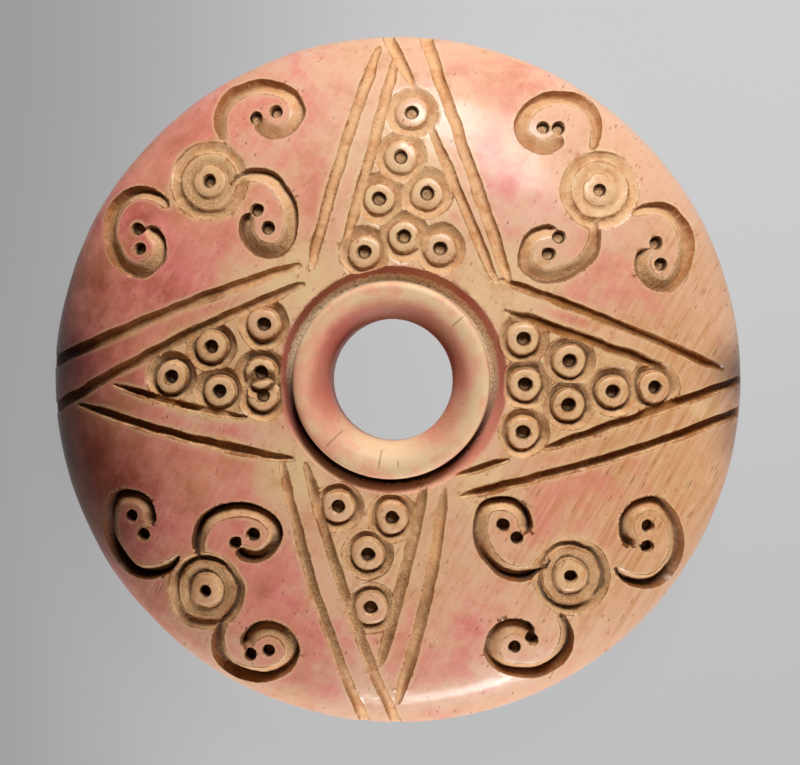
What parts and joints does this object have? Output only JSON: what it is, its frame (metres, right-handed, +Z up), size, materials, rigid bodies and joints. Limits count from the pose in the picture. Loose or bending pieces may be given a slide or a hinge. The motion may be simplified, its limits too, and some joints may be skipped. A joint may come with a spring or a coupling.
{
  "type": "bone spindle whorl",
  "caption": "Low domed disc of carved bone with a raised collar round a spindle hole, cut with a four-armed star of rings and dots and with curling scrolls.",
  "frame": {"origin": "on the spindle hole's axis, at the flat underside", "axes": "+Z up along the spindle hole's axis, through the dome; +Y towards the tip of one arm of the star"},
  "size_m": [0.034, 0.034, 0.008],
  "materials": {
    "bone": "satin"
  },
  "bodies": {
    "root": {"whorl": "bone"}
  },
  "joints": []
}
